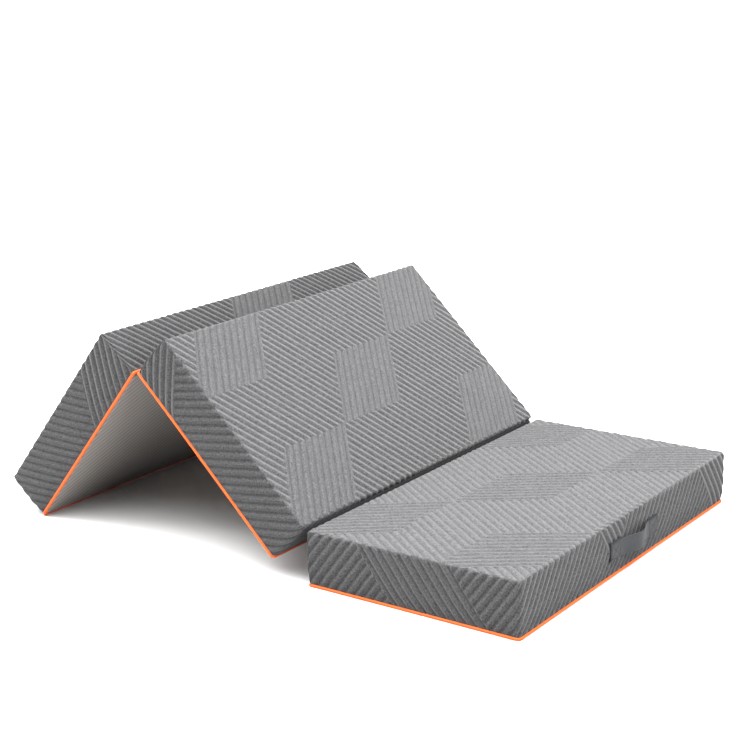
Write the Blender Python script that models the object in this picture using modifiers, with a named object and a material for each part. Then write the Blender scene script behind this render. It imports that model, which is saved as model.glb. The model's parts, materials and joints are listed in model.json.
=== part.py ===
"""A three-panel folding floor mattress, set down half folded: one panel flat, two as a tent.

Metres, +Z up. The panels follow one another along X and are one mattress width long in Y.
Each panel is built in its own frame, lying flat with a corner at the origin, and hangs
from the frame of the fold that carries it.
"""
import math

import bmesh
import bpy
import numpy as np
from mathutils import Matrix, Vector

# Panel
panel_length = 0.642
panel_width = 1.200
panel_height = 0.159
corner_radius = 0.018
smallest_corner = 0.008

# Cover: a crowned top sewn to a band round the sides
cover_thickness = 0.003
edge_radius = 0.010
crown_rise = 0.003
crown_reach = 0.256
side_swell = 0.006
side_draw = 0.001
top_draw = 0.0015
widest_height = 0.072
seam_clearance = 0.0005

# Base cloth and the cord sewn round it
base_thickness = 0.0015
piping_diameter = 0.008
piping_overhang = 0.003

# Filling
layer_clearance = 0.0003
liner_thickness = 0.0008
liner_hem = 0.060
foam_edge_radius = 0.009
comfort_thickness = 0.040

# Zip in the far side of the band
zip_length = 0.520
zip_tape_height = 0.026
zip_tape_thickness = 0.001
zip_coil_height = 0.004
zip_slot_height = 0.008
zip_slot_overrun = 0.010
slider_length = 0.011
slider_plate = 0.0018
slider_flange = 0.0012
slider_stop = 0.004
bail_length = 0.0048
bail_width = 0.0020
bail_wall = 0.0012
bail_space = 0.0020
pull_length = 0.022
pull_width = 0.0070
pull_thickness = 0.0012
pull_window = 0.0026

# Folds
fold_gap = 0.002
front_fold_lift = 0.0005
rear_fold_drop = 0.0007
front_fold_angle = math.radians(44.35)
hinge_cloth_thickness = 0.0008
hinge_cloth_reach = 0.009

# Carry handle on the end of the front panel
patch_length = 0.057
patch_height = 0.056
patch_thickness = 0.0012
strap_height = 0.050
strap_thickness = 0.0024
strap_span = 0.162
strap_bow = 0.021
handle_height = 0.077

# Fineness of the curved shapes
corner_steps = 3
side_steps = 4
arc_shares = (0, 0.5, 1)
band_seam_shares = (0, 0.5, 0.95, 1)
top_seam_shares = (0, 0.05, 0.5, 1)
lower_rise_shares = (0.25, 0.6, 1.0)
upper_rise_shares = (0.5, 1.0)
crown_step_shares = (0.12, 0.45, 1.0)
plain_corner_steps = 2
plain_side_steps = 1
cord_steps = 2
patch_points = 3
strap_rise_points = 5
strap_bow_points = 11
smooth_angle = math.radians(50)
quarter_turn = 90

# Sizes that follow from the ones above
piping_radius = piping_diameter / 2
piping_inset = side_swell - piping_overhang + piping_radius
foot_height = piping_diameter + layer_clearance
edge_height = panel_height - crown_rise
edge_inset = top_draw + edge_radius
liner_inset = side_swell + cover_thickness + side_draw + layer_clearance
foam_inset = liner_inset + liner_thickness + layer_clearance
liner_edge_radius = foam_edge_radius + liner_thickness + layer_clearance
liner_floor = base_thickness + layer_clearance
foam_floor = liner_floor + liner_thickness + layer_clearance
liner_depth = cover_thickness + layer_clearance
foam_depth = liner_depth + liner_thickness + layer_clearance
foam_split = edge_height - foam_depth - comfort_thickness
web_angle = math.radians(45)


def clear_scene():
    """Removes every object of the open file."""
    for thing in list(bpy.data.objects):
        bpy.data.objects.remove(thing, do_unlink=True)


def new_collection(name):
    """Returns a new collection linked to the scene."""
    made = bpy.data.collections.new(name)
    bpy.context.scene.collection.children.link(made)
    return made


def new_material(name, colour, roughness, metallic=0.0):
    """Returns a plain Principled material."""
    made = bpy.data.materials.new(name)
    made.use_nodes = True
    shader = made.node_tree.nodes["Principled BSDF"]
    shader.inputs["Base Color"].default_value = (*colour, 1.0)
    shader.inputs["Roughness"].default_value = roughness
    shader.inputs["Metallic"].default_value = metallic
    return made


def new_empty(name, parent, location=(0, 0, 0), turn=0.0):
    """Returns an empty that carries a panel, or marks a fold's axis."""
    made = bpy.data.objects.new(name, None)
    mattress.objects.link(made)
    made.parent = parent
    made.location = location
    made.rotation_euler = (0, turn, 0)
    return made


def new_piece(name, data, parent, material, location=(0, 0, 0)):
    """Puts a mesh or curve into the mattress under its parent."""
    made = bpy.data.objects.new(name, data)
    mattress.objects.link(made)
    made.parent = parent
    made.location = location
    if not data.materials:
        data.materials.append(material)
    return made


def new_cutter(name, size, parent, location):
    """Returns a box that cuts, or is joined to, another piece."""
    made = bpy.data.objects.new(name, box_mesh(name, size))
    cutters.objects.link(made)
    made.parent = parent
    made.location = location
    made.hide_render = True
    made.display_type = "WIRE"
    return made


def box_mesh(name, size):
    """A box of the given size, centred on its origin."""
    shape = bmesh.new()
    bmesh.ops.create_cube(shape, size=1, matrix=Matrix.Diagonal((*size, 1)))
    made = bpy.data.meshes.new(name)
    shape.to_mesh(made)
    shape.free()
    return made


def thicken(piece, thickness, offset=-1.0):
    """Gives an open surface its wall: inwards, or outwards at offset 1."""
    wall = piece.modifiers.new("wall", "SOLIDIFY")
    wall.thickness = thickness
    wall.offset = offset
    wall.use_even_offset = True


def combine(piece, other, operation):
    """Cuts or joins a piece with a box."""
    step = piece.modifiers.new(operation.lower(), "BOOLEAN")
    step.operation = operation
    step.solver = "EXACT"
    step.object = other


def outline(inset, height, corners=corner_steps, sides=side_steps, draw=side_draw):
    """A level loop round the panel: a rounded rectangle, drawn in half way along each side."""
    radius = max(corner_radius - inset, smallest_corner)
    low, high = inset + radius, np.array((panel_length, panel_width)) - inset - radius
    centres = [(high[0], high[1]), (low, high[1]), (low, low), (high[0], low)]
    points = []
    for k, centre in enumerate(centres):
        angles = np.radians(quarter_turn * k + np.linspace(0, quarter_turn, corners + 1))
        arc = np.array(centre) + radius * np.column_stack((np.cos(angles), np.sin(angles)))
        turn = angles[-1]
        following = np.array(centres[(k + 1) % len(centres)])
        end = following + radius * np.array((math.cos(turn), math.sin(turn)))
        share = (np.arange(1, sides) / sides)[:, None]
        inward = -np.array((math.cos(turn), math.sin(turn)))
        side = arc[-1] + (end - arc[-1]) * share + inward * draw * 4 * share * (1 - share)
        points.extend((arc, side))
    flat = np.vstack(points)
    return np.column_stack((flat, np.full(len(flat), height)))


def inner_outline(inset, height):
    """The plain loop of the filling, with straight sides."""
    return outline(inset, height, corners=plain_corner_steps, sides=plain_side_steps, draw=0)


def loft_mesh(name, rings, close_start=False, close_end=False):
    """A skin through level loops of as many points, from the lowest outer one inwards."""
    count = len(rings[0])
    faces = []
    for row in range(len(rings) - 1):
        for i in range(count):
            near, far = row * count + i, row * count + (i + 1) % count
            faces.append((near, far, far + count, near + count))
    if close_start:
        faces.append(tuple(reversed(range(count))))
    if close_end:
        faces.append(tuple(range((len(rings) - 1) * count, len(rings) * count)))
    made = bpy.data.meshes.new(name)
    made.from_pydata(np.vstack(rings).tolist(), [], faces)
    made.shade_smooth()
    made.set_sharp_from_angle(angle=smooth_angle)
    return made


def crown(inset):
    """How far the top has risen over its edge, this far in from the side."""
    share = min(max((inset - edge_inset) / crown_reach, 0), 1)
    return crown_rise * math.sin(math.pi / 2 * share)


def swell(height):
    """How far the band lies inside its widest line, at a height on the side."""
    if height < widest_height:
        share = (widest_height - height) / (widest_height - foot_height)
        return side_swell * share ** 2
    share = (height - widest_height) / (edge_height - edge_radius - widest_height)
    return top_draw * share ** 2


def lower_arc(inset, floor, radius):
    """(inset, height) pairs round a bottom edge, from under the piece to its side."""
    turns = [math.pi / 2 * share for share in arc_shares]
    return [(inset + radius * (1 - math.sin(t)), floor + radius * (1 - math.cos(t))) for t in turns]


def upper_arc(inset, top, radius, start=0.0, end=math.pi / 2, shares=arc_shares):
    """(inset, height) pairs round a top edge, from the side to the top.

    The step beside a seam is short, so that both walls end square to the seam.
    """
    turns = [start + (end - start) * share for share in shares]
    return [(inset + radius * (1 - math.cos(t)), top - radius * (1 - math.sin(t))) for t in turns]


def crown_rings(depth, loop):
    """Loops over the crown, this deep under the outer surface."""
    insets = [edge_inset + share * crown_reach for share in crown_step_shares]
    return [loop(inset, edge_height + crown(inset) - depth) for inset in insets]


def top_cover_mesh():
    """The crowned top, from its seam half way round the edge to its middle."""
    start = web_angle + seam_clearance / edge_radius / 2
    edge = upper_arc(top_draw, edge_height, edge_radius, start=start, shares=top_seam_shares)
    rings = [outline(inset, height) for inset, height in edge]
    return loft_mesh("top_cover", rings + crown_rings(0, outline), close_end=True)


def side_band_mesh():
    """The band, from its foot over the widest line to the seam in the top edge."""
    lower = [foot_height]
    lower += [foot_height + s * (widest_height - foot_height) for s in lower_rise_shares]
    rise = edge_height - edge_radius - widest_height
    upper = [widest_height + s * rise for s in upper_rise_shares]
    end = web_angle - seam_clearance / edge_radius / 2
    edge = upper_arc(top_draw, edge_height, edge_radius, end=end, shares=band_seam_shares)[1:]
    rings = [outline(swell(height), height) for height in lower + upper]
    rings += [outline(inset, height) for inset, height in edge]
    return loft_mesh("side_band", rings)


def liner_mesh():
    """The sock over the filling, open underneath inside its hem."""
    floor = lower_arc(liner_inset, liner_floor, liner_edge_radius)
    arc_end = liner_inset + liner_edge_radius
    top = edge_height + crown(arc_end) - liner_depth
    edge = upper_arc(liner_inset, top, liner_edge_radius)
    rings = [inner_outline(arc_end + liner_hem, liner_floor)]
    rings += [inner_outline(inset, height) for inset, height in floor + edge]
    return loft_mesh("liner", rings + crown_rings(liner_depth, inner_outline), close_end=True)


def support_foam_mesh():
    """The lower foam slab, with its bottom edges rounded."""
    edge = lower_arc(foam_inset, foam_floor, foam_edge_radius)
    rings = [inner_outline(inset, height) for inset, height in edge]
    rings.append(inner_outline(foam_inset, foam_split - layer_clearance))
    return loft_mesh("support_foam", rings, close_start=True, close_end=True)


def comfort_foam_mesh():
    """The softer upper slab, crowned like the cover over it."""
    arc_end = foam_inset + foam_edge_radius
    top = edge_height + crown(arc_end) - foam_depth
    rings = [inner_outline(foam_inset, foam_split)]
    rings += [inner_outline(i, h) for i, h in upper_arc(foam_inset, top, foam_edge_radius)]
    rings += crown_rings(foam_depth, inner_outline)
    return loft_mesh("comfort_foam", rings, close_start=True, close_end=True)


def flat_curve(name, loops, thickness):
    """A flat plate between closed outlines, the first outside and the others holes."""
    made = bpy.data.curves.new(name, "CURVE")
    made.dimensions = "2D"
    made.fill_mode = "BOTH"
    made.extrude = thickness / 2
    for loop in loops:
        line = made.splines.new("POLY")
        line.points.add(len(loop) - 1)
        for point, place in zip(line.points, loop):
            point.co = (place[0], place[1], 0, 1)
        line.use_cyclic_u = True
    return made


def piping_curve():
    """The cord round the base, a closed tube."""
    made = bpy.data.curves.new("piping", "CURVE")
    made.dimensions = "3D"
    made.twist_mode = "Z_UP"
    made.bevel_depth = piping_radius
    made.bevel_resolution = cord_steps
    line = made.splines.new("POLY")
    loop = outline(piping_inset, piping_radius)
    line.points.add(len(loop) - 1)
    for point, place in zip(line.points, loop):
        point.co = (*place, 1)
    line.use_cyclic_u = True
    return made


def base_curve():
    """The base cloth, inside the cord."""
    inset = piping_inset + piping_radius + layer_clearance
    return flat_curve("base_cloth", [outline(inset, 0)], base_thickness)


def zip_tape_curve():
    """The tape with its coil along the middle, as one T-shaped section."""
    half_tape, half_coil = zip_tape_height / 2, zip_coil_height / 2
    section = [(0, -half_tape), (zip_tape_thickness, -half_tape), (zip_tape_thickness, -half_coil)]
    section += [(zip_stand, -half_coil), (zip_stand, half_coil), (zip_tape_thickness, half_coil)]
    section += [(zip_tape_thickness, half_tape), (0, half_tape)]
    return flat_curve("zip_tape", [section], zip_length)


def pull_curve(direction):
    """The pull, with a window at its root that the slider's bail passes through."""
    half = pull_width / 2
    bar = pull_thickness / 2
    tip = pull_length - half
    turns = [math.pi / 2 * (1 - k / corner_steps) for k in range(2 * corner_steps + 1)]
    rim = [(tip + half * math.cos(t), half * math.sin(t)) for t in turns]
    plate = [(-bar, -half), (-bar, half)] + rim
    open_half = bail_width / 2 + seam_clearance
    window = [(bar, -open_half), (bar + pull_window, -open_half)]
    window += [(bar + pull_window, open_half), (bar, open_half)]
    loops = [[(direction * x, y) for x, y in loop] for loop in (plate, window)]
    return flat_curve("zip_pull", loops, pull_thickness)


def wall_sheet(name, across, heights, stand_off):
    """A sheet on the end wall of a panel: a grid of points, each a stand-off from the band."""
    share = (across - corner_radius) / (panel_width - 2 * corner_radius)
    draw = side_draw * 4 * share * (1 - share)
    inset = np.array([swell(height) for height in heights])
    x = panel_length - draw[:, None] - inset[None, :] + stand_off[:, None]
    y, z = np.meshgrid(across, heights, indexing="ij")
    points = np.stack((x, y, z), axis=-1).reshape(-1, 3)
    rows = len(heights)
    faces = []
    for i in range(len(across) - 1):
        for j in range(rows - 1):
            corner = i * rows + j
            faces.append((corner, corner + rows, corner + rows + 1, corner + 1))
    made = bpy.data.meshes.new(name)
    made.from_pydata(points.tolist(), [], faces)
    made.shade_smooth()
    return made


def patch_mesh(name, middle):
    """A square of cloth sewn to the band under one end of the strap."""
    across = np.linspace(middle - patch_length / 2, middle + patch_length / 2, patch_points)
    heights = handle_height + np.linspace(-patch_height / 2, patch_height / 2, strap_rise_points)
    return wall_sheet(name, across, heights, np.full(len(across), seam_clearance))


def strap_mesh():
    """The webbing strap: flat on its patches and bowed out between them."""
    middle = panel_width / 2
    flat = np.linspace(0, patch_length, patch_points)
    bowed = np.linspace(0, strap_span, strap_bow_points)[1:-1]
    start = middle - strap_span / 2 - patch_length
    across = np.concatenate((start + flat, start + patch_length + bowed,
                             start + patch_length + strap_span + flat))
    seat = 2 * seam_clearance + patch_thickness
    rise = strap_bow * np.sin(np.pi * bowed / strap_span) ** 2
    stand_off = seat + np.concatenate((np.zeros(len(flat)), rise, np.zeros(len(flat))))
    heights = handle_height + np.linspace(-strap_height / 2, strap_height / 2, strap_rise_points)
    return wall_sheet("handle_strap", across, heights, stand_off)


def strip_mesh(name, path):
    """A strip of cloth along Y over a path of (x, z) points."""
    ends = (corner_radius, panel_width - corner_radius)
    points = [(x, y, z) for x, z in path for y in ends]
    faces = [(2 * k, 2 * k + 1, 2 * k + 3, 2 * k + 2) for k in range(len(path) - 1)]
    made = bpy.data.meshes.new(name)
    made.from_pydata(points, [], faces)
    return made


def turned(x, z, angle):
    """The point (x, z) turned about the Y axis."""
    return x * math.cos(angle) + z * math.sin(angle), z * math.cos(angle) - x * math.sin(angle)


def front_web_path():
    """From the front panel's top seam to the fold's axis and to the middle panel's seam."""
    reach = 1 - math.cos(web_angle)
    off = layer_clearance
    x = fold_gap / 2 + top_draw + edge_radius * reach - off * math.cos(web_angle)
    z = edge_height - edge_radius * (1 - math.sin(web_angle)) + off * math.sin(web_angle)
    drop = z - panel_height - front_fold_lift
    return [(x, drop), (0, 0), turned(-x, drop, front_fold_angle)]


def rear_tape_path():
    """Under the two cords that meet at the rear fold, in the middle panel's frame."""
    near = (hinge_cloth_reach, 0)
    far = turned(-hinge_cloth_reach, 0, -rear_fold_angle)
    return [near, (0, 0), far]


def tent_angle():
    """The rear panel's slope, at which the cord round its free end touches the floor."""
    drop = panel_height + front_fold_lift + rear_fold_drop
    rise = turned(-panel_length - fold_gap, -drop, front_fold_angle)[1]
    apex = panel_height + front_fold_lift + rise
    reach = panel_length + fold_gap / 2 - piping_inset
    above = piping_radius + rear_fold_drop
    slope = math.asin((apex - piping_radius) / math.hypot(reach, above))
    return slope + math.atan2(above, reach)


def build_cover(side, frame):
    """Top, band, base cloth and cord of one panel."""
    top = new_piece(side + "_top_cover", meshes["top"], frame, knit)
    thicken(top, cover_thickness)
    band = new_piece(side + "_side_band", meshes["band"], frame, knit)
    thicken(band, cover_thickness)
    slot_size = (zip_length + 2 * seam_clearance, 2 * zip_slot_overrun, zip_slot_height)
    slot_place = (panel_length / 2, panel_width, widest_height)
    combine(band, new_cutter(side + "_zip_slot", slot_size, frame, slot_place), "DIFFERENCE")
    new_piece(side + "_base_cloth", meshes["base"], frame, base_fabric, (0, 0, base_thickness / 2))
    new_piece(side + "_piping", meshes["piping"], frame, piping_fabric)


def build_filling(side, frame):
    """Liner and the two foam slabs of one panel."""
    liner = new_piece(side + "_liner", meshes["liner"], frame, liner_fabric)
    thicken(liner, liner_thickness)
    new_piece(side + "_comfort_foam", meshes["comfort"], frame, comfort_foam)
    new_piece(side + "_support_foam", meshes["support"], frame, support_foam)


def build_zip(side, frame, direction):
    """Tape, slider and pull. The slider rests at the lower end of the zip."""
    place = (panel_length / 2, zip_back, widest_height)
    tape = new_piece(side + "_zip_tape", meshes["tape"], frame, zip_fabric, place)
    tape.rotation_euler = Matrix(((0, 0, 1), (1, 0, 0), (0, 1, 0))).to_euler()

    coil_top = zip_back + zip_stand
    travel = zip_length / 2 - slider_stop - slider_length / 2
    depth = slider_flange + seam_clearance + slider_plate
    centre = coil_top - slider_flange + depth / 2
    height = zip_slot_height - 2 * seam_clearance
    slider_mesh = box_mesh("zip_slider", (slider_length, depth, height))
    place = (panel_length / 2 + direction * travel, centre, widest_height)
    slider = new_piece(side + "_zip_slider", slider_mesh, frame, zip_metal, place)
    bail_depth = bail_space + bail_wall
    bail_place = (0, depth / 2 + bail_depth / 2 - bail_wall / 2, 0)
    bail_size = (bail_length, bail_depth + bail_wall, bail_width)
    combine(slider, new_cutter(side + "_bail", bail_size, slider, bail_place), "UNION")
    space_size = (bail_length - 2 * bail_wall, bail_space, 2 * bail_width)
    space_place = (0, depth / 2 + bail_space / 2, 0)
    combine(slider, new_cutter(side + "_bail_space", space_size, slider, space_place), "DIFFERENCE")
    groove_depth = slider_flange + seam_clearance
    groove_size = (2 * slider_length, 2 * groove_depth, zip_coil_height + 2 * seam_clearance)
    groove_place = (0, -depth / 2, 0)
    combine(slider, new_cutter(side + "_groove", groove_size, slider, groove_place), "DIFFERENCE")

    pull = new_piece(side + "_zip_pull", pull_curve(direction), slider, zip_metal, space_place)
    pull.rotation_euler = (math.pi / 2, 0, 0)


def build_handle(frame):
    """The carry strap and the two patches that it is sewn to."""
    offset = (strap_span + patch_length) / 2
    for side, middle in (("near", panel_width / 2 - offset), ("far", panel_width / 2 + offset)):
        name = "handle_patch_" + side
        patch = new_piece(name, patch_mesh(name, middle), frame, webbing)
        thicken(patch, patch_thickness, offset=1)
    strap = new_piece("handle_strap", strap_mesh(), frame, webbing)
    thicken(strap, strap_thickness, offset=1)


def build_hinge_cloths():
    """The strips of cloth that join the panels, one over each fold."""
    web = new_piece("front_hinge_web", strip_mesh("front_hinge_web", front_web_path()), mattress_frame,
                    hinge_fabric, front_axis.location)
    thicken(web, hinge_cloth_thickness, offset=0)
    tape = new_piece("rear_hinge_tape", strip_mesh("rear_hinge_tape", rear_tape_path()), middle_frame,
                     hinge_fabric, rear_axis.location)
    thicken(tape, hinge_cloth_thickness, offset=0)


def centre_over_origin():
    """Moves the mattress so that the middle of its box stands over the origin."""
    bpy.context.view_layer.update()
    graph = bpy.context.evaluated_depsgraph_get()
    corners = []
    for thing in mattress.objects:
        if thing.type == "EMPTY":
            continue
        shown = thing.evaluated_get(graph)
        skin = shown.to_mesh()
        corners += [shown.matrix_world @ point.co for point in skin.vertices]
        shown.to_mesh_clear()
    low = Vector([min(corner[k] for corner in corners) for k in range(3)])
    high = Vector([max(corner[k] for corner in corners) for k in range(3)])
    mattress_frame.location = (-(low.x + high.x) / 2, -(low.y + high.y) / 2, -low.z)


clear_scene()
mattress = new_collection("folding_floor_mattress")
cutters = new_collection("cutters")

knit = new_material("knit", (0.30, 0.30, 0.31), 0.9)
base_fabric = new_material("base_fabric", (0.20, 0.18, 0.16), 0.9)
piping_fabric = new_material("piping_fabric", (0.90, 0.16, 0.02), 0.6)
liner_fabric = new_material("liner_fabric", (0.80, 0.79, 0.76), 0.9)
comfort_foam = new_material("comfort_foam", (0.75, 0.72, 0.62), 0.95)
support_foam = new_material("support_foam", (0.62, 0.66, 0.70), 0.95)
zip_fabric = new_material("zip_fabric", (0.06, 0.06, 0.065), 0.7)
zip_metal = new_material("zip_metal", (0.30, 0.30, 0.32), 0.35, 1.0)
webbing = new_material("webbing", (0.15, 0.16, 0.17), 0.8)
hinge_fabric = new_material("hinge_fabric", (0.04, 0.04, 0.045), 0.9)

# The coil's crest lies level with the band where that is drawn in most
tape_edge_swell = swell(widest_height - zip_tape_height / 2)
zip_back = (panel_width - side_draw - cover_thickness - tape_edge_swell
            - seam_clearance - zip_tape_thickness)
zip_stand = panel_width - side_draw - zip_back
rear_fold_angle = front_fold_angle + tent_angle()

mattress_frame = new_empty("mattress_frame", None)
front_frame = new_empty("front_panel_frame", mattress_frame)
front_axis = new_empty("front_fold_axis", mattress_frame,
                       (-fold_gap / 2, 0, panel_height + front_fold_lift), front_fold_angle)
middle_frame = new_empty("middle_panel_frame", front_axis,
                         (-fold_gap / 2 - panel_length, 0, -panel_height - front_fold_lift))
rear_axis = new_empty("rear_fold_axis", middle_frame,
                      (-fold_gap / 2, 0, -rear_fold_drop), -rear_fold_angle)
rear_frame = new_empty("rear_panel_frame", rear_axis,
                       (-fold_gap / 2 - panel_length, 0, rear_fold_drop))

meshes = {
    "top": top_cover_mesh(),
    "band": side_band_mesh(),
    "base": base_curve(),
    "piping": piping_curve(),
    "liner": liner_mesh(),
    "comfort": comfort_foam_mesh(),
    "support": support_foam_mesh(),
    "tape": zip_tape_curve(),
}
for panel_side, panel_frame, downhill in (("front", front_frame, 1), ("middle", middle_frame, 1),
                                          ("rear", rear_frame, -1)):
    build_cover(panel_side, panel_frame)
    build_filling(panel_side, panel_frame)
    build_zip(panel_side, panel_frame, downhill)
build_handle(front_frame)
build_hinge_cloths()
centre_over_origin()
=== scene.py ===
"""Looks of the folding floor mattress: ribbed knit covers, corded base edges, zips and carry handle.

Each panel is worked out in its own frame, lying flat with a corner at the origin, x along the
mattress, y across it and z up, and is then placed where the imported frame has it.
"""

import json
import math

import bpy
import numpy as np
from mathutils import Matrix, Vector


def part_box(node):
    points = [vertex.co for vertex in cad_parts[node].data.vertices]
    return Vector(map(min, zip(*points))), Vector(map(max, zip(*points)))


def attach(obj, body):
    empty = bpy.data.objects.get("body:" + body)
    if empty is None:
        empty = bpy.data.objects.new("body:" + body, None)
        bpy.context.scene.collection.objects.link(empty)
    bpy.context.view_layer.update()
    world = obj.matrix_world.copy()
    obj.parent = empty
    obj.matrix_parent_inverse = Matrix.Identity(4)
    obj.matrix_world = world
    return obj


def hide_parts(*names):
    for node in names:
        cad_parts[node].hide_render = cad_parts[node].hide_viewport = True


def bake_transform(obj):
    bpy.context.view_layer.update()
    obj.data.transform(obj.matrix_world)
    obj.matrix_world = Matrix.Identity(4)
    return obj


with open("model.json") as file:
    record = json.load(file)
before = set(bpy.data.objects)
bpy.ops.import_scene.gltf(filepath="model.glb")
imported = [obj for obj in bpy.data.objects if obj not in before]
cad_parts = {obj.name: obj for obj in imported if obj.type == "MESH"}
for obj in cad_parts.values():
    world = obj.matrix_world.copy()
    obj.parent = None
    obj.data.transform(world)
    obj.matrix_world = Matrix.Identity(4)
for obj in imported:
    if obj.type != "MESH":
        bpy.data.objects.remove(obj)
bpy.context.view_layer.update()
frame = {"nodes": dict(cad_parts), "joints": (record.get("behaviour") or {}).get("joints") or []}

MM = 0.001
SIDES = ("front", "middle", "rear")
joints = {joint["name"]: joint for joint in frame["joints"]}

# Panel sizes, as in the solids
HALF_GAP = 1 * MM
LENGTH = 642 * MM
WIDTH = 1200 * MM
HEIGHT = 159 * MM
CORNER = 18 * MM
SMALLEST_CORNER = 8 * MM
COVER_CORNER = 2.5 * MM
COVER = 3 * MM
EDGE_RADIUS = 10 * MM
CROWN_RISE = 3 * MM
CROWN_REACH = 256 * MM
SWELL = 6 * MM
SIDE_DRAW = 1 * MM
TOP_DRAW = 1.5 * MM
WIDEST = 72 * MM
PIPING = 8 * MM
PIPING_INSET = 7 * MM
FOOT = 8.3 * MM
EDGE_HEIGHT = HEIGHT - CROWN_RISE
EDGE_INSET = TOP_DRAW + EDGE_RADIUS
SEAM_INSET = TOP_DRAW + EDGE_RADIUS * (1 - math.cos(math.pi / 4))
SEAM_HEIGHT = EDGE_HEIGHT - EDGE_RADIUS * (1 - math.sin(math.pi / 4))
AROUND = 2 * (LENGTH + WIDTH)

# Radii of the cover's corners at the two ends of each panel, smaller where a fold pulls them tight
COVER_ENDS = {"front": (10 * MM, CORNER), "middle": (9 * MM, CORNER), "rear": (CORNER, 9 * MM)}
PLAIN_ENDS = (CORNER, CORNER)

# Ribs of the knit
RIB_PITCH = 27.8 * MM
ROW = 211.2 * MM
SLANT_RIBS = 5.5
ZONE_RIBS = 10
ZONE_PERIOD = 31
ZONE_STEP = 15.5
RIB_DEPTH = 2.4 * MM
BAND_RIB_DEPTH = 3.0 * MM
CROSSING = 3 * MM
WALES = 5
BAND_SLANT = 0.77
BAND_RISE = 26.4
SEAM_BLEND = 9 * MM
UNEVEN = 0.16 * MM
UNEVEN_WAVES = ((31, 17, 0, 5, 1), (-41, 23, 29, 0, 1), (0, 57, 38, 2, 0.6))
SQUARE = ROW / math.hypot(ROW, SLANT_RIBS * RIB_PITCH)
BAND_SQUARE = 1 / math.hypot(1, BAND_SLANT)

# Grids of the covers: the step, the finer steps at a top's seam and the steps up a band, below, beside and
# above the zip and round its top edge. Then how far the turned-in hems reach, and how far from the foot
# and from the slot of the zip the ribs begin.
GRID = 2.85 * MM
SEAM_STEPS = np.array((0, 0.5, 1.3, 2.5, 4.1, 6.3, 9.0)) * MM
SIDE_STEPS = (18, 3, 22)
ROUND_STEPS = 4
FOOT_TUCK = 0.6 * MM
HEM_REACH = 2.2 * MM
SLOT_EDGE = 0.5 * MM
LEVEL_REACH = 5 * MM

# Where the pattern of each top begins: direction across, offset along, first zone, count of ribs there
TOP_PATTERN = {
    "front": (-1, -6.6 * MM, -390.4 * MM, 0.5),
    "middle": (1, -3.0 * MM, -27.7 * MM, 0.5),
    "rear": (1, -3.0 * MM, 560 * MM, 0.5),
}

# Ribs of each band rise with s where this is 1 and fall where it is -1, s running round the
# panel from its near corner. Then the counts that ribs of the zones and the other ribs begin
# with, and each zone's two edges, as s at the top and at the foot.
E1, E2, E3 = LENGTH, LENGTH + WIDTH, 2 * LENGTH + WIDTH
BAND_PATTERN = {
    "front": (1, (0.345, 0.377), (
        (0.162, 0.279, 0.4415, 0.5586), (E1 + 0.400, E1 + 0.512, E1 + 0.565, E1 + 0.453),
        (E1 + 1.007, E1 + 1.119, E2 + 0.082, E2 + 0.194), (E2 + 0.34, E2 + 0.46, E3 + 0.10, E3 + 0.22),
        (E3 + 0.48, E3 + 0.60, E3 + 0.78, E3 + 0.90))),
    "middle": (1, (0.621, 0.035), (
        (-0.217, -0.100, 0.073, 0.190), (E1 + 0.25, E1 + 0.36, E1 + 0.53, E1 + 0.64),
        (E2 - 0.10, E2 + 0.01, E2 + 0.18, E2 + 0.29), (E3 + 0.20, E3 + 0.31, E3 + 0.48, E3 + 0.59))),
    "rear": (-1, (-0.26, 0.47), (
        (0.4895, 0.377, E1, E1), (E1 + 0.560, E1 + 0.45, E1 + 0.84, E1 + 0.73),
        (E2 + 0.20, E2 + 0.09, E2 + 0.50, E2 + 0.39), (E3 + 0.35, E3 + 0.24, E3 + 0.75, E3 + 0.64))),
}

# Places round each band and the number of ribs up to there. They stand closer on the ends.
BAND_RIBS = 131
BAND_COUNTS = {
    "front": ((0, 0.558, E1 + 0.226, E1 + 0.400, E1 + 0.570, E1 + 0.891, E1 + 1.016, E1 + 1.118, AROUND),
              (0, 19.44, 30.94, 37.26, 43.63, 55.29, 59.82, 63.32, BAND_RIBS)),
    "middle": ((0, E1, E2, E3, AROUND), (0, 22.21, 65.5, 87.71, BAND_RIBS)),
    "rear": ((0, E1, E2, E3, AROUND), (0, 22.15, 65.5, 87.65, BAND_RIBS)),
}

# Colours of the knit and of the shade painted into its grooves, how strongly that painted shade darkens the
# grooves on the top and the band, how much darker the band's knit is painted overall as shade, and how wide
# the grooves' painted shade is, as a share of a rib. Then the size of its stitches and the shares of
# stitches, fine lines and ribs in its relief.
YARN_DARK = (0.038, 0.038, 0.0392)
YARN_LIGHT = (0.104, 0.104, 0.1065)
# Colour of the shade painted into the grooves
GROOVE_SHADE_COLOUR = (0.012, 0.012, 0.0125)
GROOVE_SHADE = 0.34
# The band's knit is painted this much darker than the top's, as painted shade on the sides
BAND_SHADE_TONE = 0.75
BAND_GROOVE_SHADE = 0.42
GROOVE_WIDTH = 0.17
KNIT_STITCH = 2.5 * MM
LOOP_SHARE, WALE_SHARE, RIDGE_SHARE = 0.2, 0.05, 0.55
KNIT_RELIEF = 2 * MM

# Cord round the base edge: its points along and around, its stitches, how far they draw it in, and the
# threads of its cloth
CORD_STEPS = 900
CORD_SIDES = 12
CORD_STITCH = 3.4 * MM
CORD_PUCKER_SHARE = 0.012
CORD_THREAD = 1 * MM
CORD_RELIEF = 0.15 * MM

# Base cloth
BASE_GAP = 0.3 * MM
BASE_INSET = PIPING_INSET + PIPING / 2 + BASE_GAP
BASE_THICKNESS = 1.5 * MM
BASE_ROWS, BASE_COLUMNS = 90, 50
BASE_STITCH = 1.1 * MM
QUILT_PITCH = 31 * MM
QUILT_LINE_SHARES = (0.05, 0.11)
CLOTH_RELIEF = 0.4 * MM

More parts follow.
